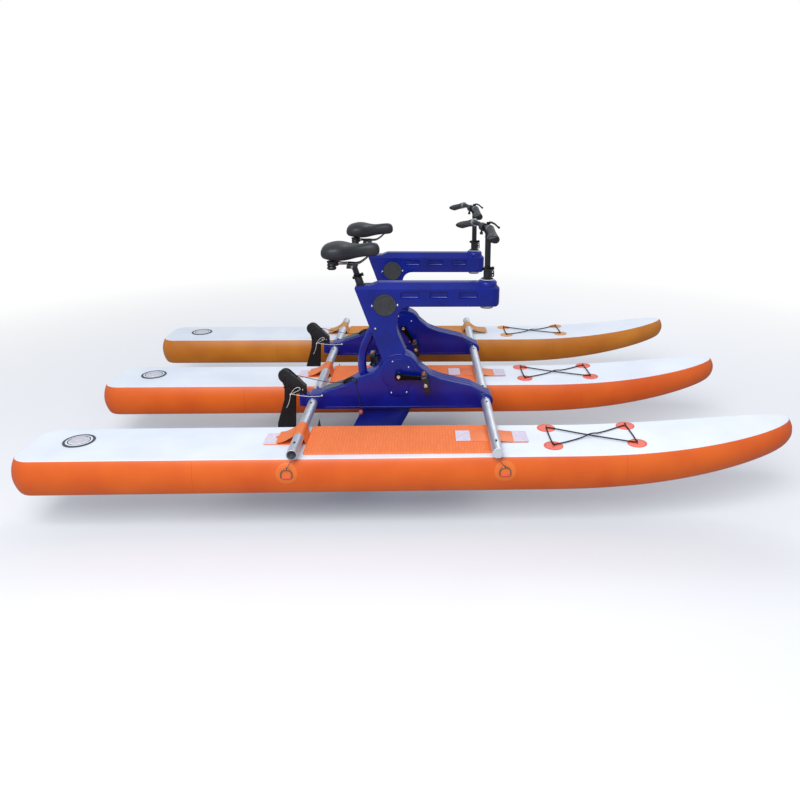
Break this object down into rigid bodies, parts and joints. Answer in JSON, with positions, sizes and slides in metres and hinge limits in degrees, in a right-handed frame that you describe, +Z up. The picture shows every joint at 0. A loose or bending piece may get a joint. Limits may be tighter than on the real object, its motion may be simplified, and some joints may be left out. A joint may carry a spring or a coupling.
{
  "type": "inflatable pedal boat",
  "caption": "Catamaran-like pedal boat: inflatable hulls under two crossbars, with seated pedal frames that each drive a propeller leg and steer a kick-up rudder.",
  "frame": {"origin": "on the flat underside of the centre hull, at half its length", "axes": "+X to the bow, +Y to port, +Z up"},
  "size_m": [3.3373, 2.11, 1.2429],
  "materials": {
    "blue_polyethylene": "moulded, satin",
    "black_polymer": "satin",
    "black_vinyl": "matt grained vinyl",
    "brushed_steel": "brushed",
    "anodised_aluminium": "anodised, satin",
    "orange_pvc": "coated fabric, semi-gloss",
    "amber_pvc": "coated fabric, semi-gloss",
    "orange_foam": "ribbed foam, matt",
    "amber_foam": "ribbed foam, matt",
    "black_cord": "woven cord, matt"
  },
  "bodies": {
    "boat": {"hull_starboard": "orange_pvc", "deck_pad_starboard": "orange_foam", "rear_strap_starboard": "orange_foam", "bungee_starboard": "black_cord", "hull_centre": "orange_pvc", "deck_pad_centre": "orange_foam", "rear_strap_centre": "orange_foam", "bungee_centre": "black_cord", "hull_port": "amber_pvc", "deck_pad_port": "amber_foam", "rear_strap_port": "amber_foam", "bungee_port": "black_cord", "crossbar_rear_starboard": "anodised_aluminium", "crossbar_rear_centre": "anodised_aluminium", "crossbar_rear_port": "anodised_aluminium", "crossbar_front_starboard": "anodised_aluminium", "crossbar_front_centre": "anodised_aluminium", "crossbar_front_port": "anodised_aluminium", "starboard_frame": "blue_polyethylene", "starboard_gearbox_cover": "blue_polyethylene", "starboard_hatch_cover": "black_polymer", "starboard_drive_leg": "blue_polyethylene", "starboard_lift_cord": "black_cord", "port_frame": "blue_polyethylene", "port_gearbox_cover": "blue_polyethylene", "port_hatch_cover": "black_polymer", "port_drive_leg": "blue_polyethylene", "port_lift_cord": "black_cord"},
    "starboard_crank": {"starboard_crank_starboard": "black_polymer", "starboard_crank_port": "black_polymer"},
    "starboard_right_pedal": {"starboard_pedal_starboard": "black_polymer"},
    "starboard_left_pedal": {"starboard_pedal_port": "black_polymer"},
    "starboard_shaft": {"starboard_drive_shaft": "brushed_steel"},
    "starboard_screw": {"starboard_propeller_shaft": "brushed_steel", "starboard_propeller": "black_polymer"},
    "starboard_seat": {"starboard_seat_post": "black_polymer", "starboard_saddle": "black_vinyl"},
    "starboard_seat_clamp": {"starboard_seat_lever": "black_polymer"},
    "starboard_column": {"starboard_steerer": "black_polymer"},
    "starboard_bars": {"starboard_handlebar": "black_polymer"},
    "starboard_stem_clamp": {"starboard_stem_lever": "black_polymer"},
    "starboard_brake": {"starboard_brake_lever": "black_polymer"},
    "starboard_rudder": {"starboard_rudder_head": "black_polymer"},
    "starboard_blade": {"starboard_rudder_blade": "black_polymer"},
    "port_crank": {"port_crank_starboard": "black_polymer", "port_crank_port": "black_polymer"},
    "port_right_pedal": {"port_pedal_starboard": "black_polymer"},
    "port_left_pedal": {"port_pedal_port": "black_polymer"},
    "port_shaft": {"port_drive_shaft": "brushed_steel"},
    "port_screw": {"port_propeller_shaft": "brushed_steel", "port_propeller": "black_polymer"},
    "port_seat": {"port_seat_post": "black_polymer", "port_saddle": "black_vinyl"},
    "port_seat_clamp": {"port_seat_lever": "black_polymer"},
    "port_column": {"port_steerer": "black_polymer"},
    "port_bars": {"port_handlebar": "black_polymer"},
    "port_stem_clamp": {"port_stem_lever": "black_polymer"},
    "port_brake": {"port_brake_lever": "black_polymer"},
    "port_rudder": {"port_rudder_head": "black_polymer"},
    "port_blade": {"port_rudder_blade": "black_polymer"}
  },
  "joints": [
    {"name": "starboard_crank_spin", "type": "hinge", "parent": "boat", "child": "starboard_crank", "pos_m": [-0.079, -0.43, 0.328], "axis": [0, 1, 0], "continuous": true},
    {"name": "starboard_right_pedal_spin", "type": "hinge", "parent": "starboard_crank", "child": "starboard_right_pedal", "pos_m": [0.05068, -0.43, 0.31893], "axis": [0, 1, 0], "continuous": true},
    {"name": "starboard_left_pedal_spin", "type": "hinge", "parent": "starboard_crank", "child": "starboard_left_pedal", "pos_m": [-0.20868, -0.43, 0.33707], "axis": [0, 1, 0], "continuous": true},
    {"name": "starboard_shaft_spin", "type": "hinge", "parent": "boat", "child": "starboard_shaft", "pos_m": [-0.079, -0.43, 0.328], "axis": [-0.4384, 0, -0.8988], "continuous": true},
    {"name": "starboard_screw_spin", "type": "hinge", "parent": "boat", "child": "starboard_screw", "pos_m": [-0.478, -0.43, -0.04], "axis": [1, 0, 0], "continuous": true},
    {"name": "starboard_seat_height", "type": "slide", "parent": "boat", "child": "starboard_seat", "axis": [-0.2924, 0, 0.9563], "range_m": [-0.025, 0.08]},
    {"name": "starboard_seat_clamp_turn", "type": "hinge", "parent": "boat", "child": "starboard_seat_clamp", "pos_m": [-0.2453, -0.43, 0.8109], "axis": [-0.2924, 0, 0.9563], "range_deg": [0, 120]},
    {"name": "starboard_steering", "type": "hinge", "parent": "boat", "child": "starboard_column", "pos_m": [0.344, -0.43, 0.787], "axis": [0, 0, 1], "range_deg": [-56, 34]},
    {"name": "starboard_bar_height", "type": "slide", "parent": "starboard_column", "child": "starboard_bars", "axis": [0, 0, 1], "range_m": [-0.05, 0.05]},
    {"name": "starboard_stem_clamp_turn", "type": "hinge", "parent": "starboard_column", "child": "starboard_stem_clamp", "pos_m": [0.37047, -0.42418, 0.8385], "axis": [0, 0, 1], "range_deg": [0, 120]},
    {"name": "starboard_brake_pull", "type": "hinge", "parent": "starboard_bars", "child": "starboard_brake", "pos_m": [0.3356, -0.5189, 1.0626], "axis": [0.9767, 0.2147, 0], "range_deg": [0, 5.5], "stiffness_Nm_per_rad": 3, "springref_deg": -5.73},
    {"name": "starboard_rudder_yaw", "type": "hinge", "parent": "boat", "child": "starboard_rudder", "pos_m": [-0.548, -0.43, 0.214], "axis": [0, 0, 1], "range_deg": [-34, 56]},
    {"name": "starboard_rudder_lift", "type": "hinge", "parent": "starboard_rudder", "child": "starboard_blade", "pos_m": [-0.634, -0.4111, 0.302], "axis": [0.2147, 0.9767, 0], "range_deg": [0, 110]},
    {"name": "port_crank_spin", "type": "hinge", "parent": "boat", "child": "port_crank", "pos_m": [-0.079, 0.43, 0.328], "axis": [0, 1, 0], "continuous": true},
    {"name": "port_right_pedal_spin", "type": "hinge", "parent": "port_crank", "child": "port_right_pedal", "pos_m": [-0.00259, 0.43, 0.22283], "axis": [0, 1, 0], "continuous": true},
    {"name": "port_left_pedal_spin", "type": "hinge", "parent": "port_crank", "child": "port_left_pedal", "pos_m": [-0.15541, 0.43, 0.43317], "axis": [0, 1, 0], "continuous": true},
    {"name": "port_shaft_spin", "type": "hinge", "parent": "boat", "child": "port_shaft", "pos_m": [-0.079, 0.43, 0.328], "axis": [-0.4384, 0, -0.8988], "continuous": true},
    {"name": "port_screw_spin", "type": "hinge", "parent": "boat", "child": "port_screw", "pos_m": [-0.478, 0.43, -0.04], "axis": [1, 0, 0], "continuous": true},
    {"name": "port_seat_height", "type": "slide", "parent": "boat", "child": "port_seat", "axis": [-0.2924, 0, 0.9563], "range_m": [-0.01, 0.08]},
    {"name": "port_seat_clamp_turn", "type": "hinge", "parent": "boat", "child": "port_seat_clamp", "pos_m": [-0.2453, 0.43, 0.8109], "axis": [-0.2924, 0, 0.9563], "range_deg": [0, 120]},
    {"name": "port_steering", "type": "hinge", "parent": "boat", "child": "port_column", "pos_m": [0.344, 0.43, 0.787], "axis": [0, 0, 1], "range_deg": [-56, 34]},
    {"name": "port_bar_height", "type": "slide", "parent": "port_column", "child": "port_bars", "axis": [0, 0, 1], "range_m": [-0.05, 0.05]},
    {"name": "port_stem_clamp_turn", "type": "hinge", "parent": "port_column", "child": "port_stem_clamp", "pos_m": [0.37047, 0.43582, 0.8385], "axis": [0, 0, 1], "range_deg": [0, 120]},
    {"name": "port_brake_pull", "type": "hinge", "parent": "port_bars", "child": "port_brake", "pos_m": [0.3356, 0.3411, 1.0626], "axis": [0.9767, 0.2147, 0], "range_deg": [0, 5.5], "stiffness_Nm_per_rad": 3, "springref_deg": -5.73},
    {"name": "port_rudder_yaw", "type": "hinge", "parent": "boat", "child": "port_rudder", "pos_m": [-0.548, 0.43, 0.214], "axis": [0, 0, 1], "range_deg": [-34, 56]},
    {"name": "port_rudder_lift", "type": "hinge", "parent": "port_rudder", "child": "port_blade", "pos_m": [-0.634, 0.4489, 0.302], "axis": [0.2147, 0.9767, 0], "range_deg": [0, 110]}
  ],
  "couplings": [
    {"joint": "starboard_shaft_spin", "follows": "starboard_crank_spin", "ratio": -3},
    {"joint": "starboard_screw_spin", "follows": "starboard_crank_spin", "ratio": -6},
    {"joint": "starboard_rudder_yaw", "follows": "starboard_steering", "ratio": -1},
    {"joint": "port_shaft_spin", "follows": "port_crank_spin", "ratio": -3},
    {"joint": "port_screw_spin", "follows": "port_crank_spin", "ratio": -6},
    {"joint": "port_rudder_yaw", "follows": "port_steering", "ratio": -1}
  ]
}
